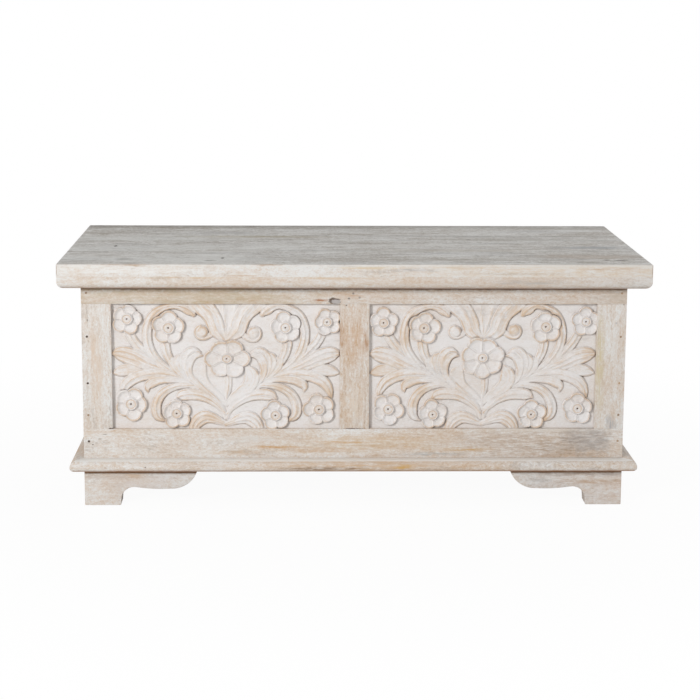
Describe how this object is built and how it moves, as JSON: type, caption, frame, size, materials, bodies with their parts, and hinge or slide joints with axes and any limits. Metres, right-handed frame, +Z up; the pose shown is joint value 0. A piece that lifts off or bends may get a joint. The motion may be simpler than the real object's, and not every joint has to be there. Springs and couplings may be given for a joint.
{
  "type": "storage chest",
  "caption": "Low storage chest with a flat hinged plank lid on slotted stays, carved front panels, a moulded base and bracket feet.",
  "frame": {"origin": "middle of the floor rectangle under the closed chest", "axes": "+X to the right along the front, +Y from the front to the back, +Z up"},
  "size_m": [1.1, 0.6, 0.467],
  "materials": {
    "limed_wood": "lime-washed, matt, worn at the edges",
    "limed_top": "lime-washed, greyed by weather, matt",
    "limed_carving": "thick white wash in the ground, rubbed back on the carving",
    "plain_wood": "sawn, unfinished",
    "hinge_brass": "aged, satin",
    "stay_steel": "zinc plated",
    "screw_steel": "zinc plated",
    "nail_iron": "dark, oxidised"
  },
  "bodies": {
    "case": {"back_bottom_rail": "limed_wood", "back_centre_stile": "limed_wood", "back_left_foot_face": "limed_wood", "back_left_foot_side": "limed_wood", "back_left_panel": "limed_wood", "back_left_post": "limed_wood", "back_right_foot_face": "limed_wood", "back_right_foot_side": "limed_wood", "back_right_panel": "limed_wood", "back_right_post": "limed_wood", "back_top_rail": "limed_wood", "base_back_board": "plain_wood", "base_front_moulding": "limed_wood", "base_left_moulding": "limed_wood", "base_right_moulding": "limed_wood", "bottom_panel": "plain_wood", "case_screws": "screw_steel", "front_bottom_rail": "limed_wood", "front_centre_stile": "limed_wood", "front_frame_nails": "nail_iron", "front_left_foot_face": "limed_wood", "front_left_foot_side": "limed_wood", "front_left_post": "limed_wood", "front_left_stile": "limed_wood", "front_right_foot_face": "limed_wood", "front_right_foot_side": "limed_wood", "front_right_post": "limed_wood", "front_right_stile": "limed_wood", "front_top_rail": "limed_wood", "left_carved_panel": "limed_carving", "left_hinge_case_leaf": "hinge_brass", "left_hinge_pin": "hinge_brass", "left_side_bottom_rail": "limed_wood", "left_side_panel": "limed_wood", "left_side_top_rail": "limed_wood", "left_stay_plate": "stay_steel", "right_carved_panel": "limed_carving", "right_hinge_case_leaf": "hinge_brass", "right_hinge_pin": "hinge_brass", "right_side_bottom_rail": "limed_wood", "right_side_panel": "limed_wood", "right_side_top_rail": "limed_wood", "right_stay_plate": "stay_steel"},
    "lid": {"left_hinge_lid_leaf": "hinge_brass", "left_stay_bracket": "stay_steel", "lid_back_plank": "limed_top", "lid_back_strip": "limed_wood", "lid_front_plank": "limed_top", "lid_front_strip": "limed_wood", "lid_left_batten": "plain_wood", "lid_left_strip": "limed_wood", "lid_right_batten": "plain_wood", "lid_right_strip": "limed_wood", "lid_screws": "screw_steel", "lid_second_plank": "limed_top", "lid_third_plank": "limed_top", "right_hinge_lid_leaf": "hinge_brass", "right_stay_bracket": "stay_steel"},
    "left_stay_bar": {"left_stay_bar": "stay_steel"},
    "right_stay_bar": {"right_stay_bar": "stay_steel"}
  },
  "joints": [
    {"name": "lid_hinge", "type": "hinge", "parent": "case", "child": "lid", "pos_m": [0, 0.296, 0.421], "axis": [-1, 0, 0], "range_deg": [0, 100]},
    {"name": "left_stay_pivot", "type": "hinge", "parent": "lid", "child": "left_stay_bar", "pos_m": [-0.48425, 0.166, 0.432], "axis": [-1, 0, 0], "range_deg": [-50, 0]},
    {"name": "right_stay_pivot", "type": "hinge", "parent": "lid", "child": "right_stay_bar", "pos_m": [0.48425, 0.166, 0.432], "axis": [-1, 0, 0], "range_deg": [-50, 0]}
  ],
  "couplings": [
    {"joint": "left_stay_pivot", "follows": "lid_hinge", "ratio": -0.5},
    {"joint": "right_stay_pivot", "follows": "lid_hinge", "ratio": -0.5}
  ]
}
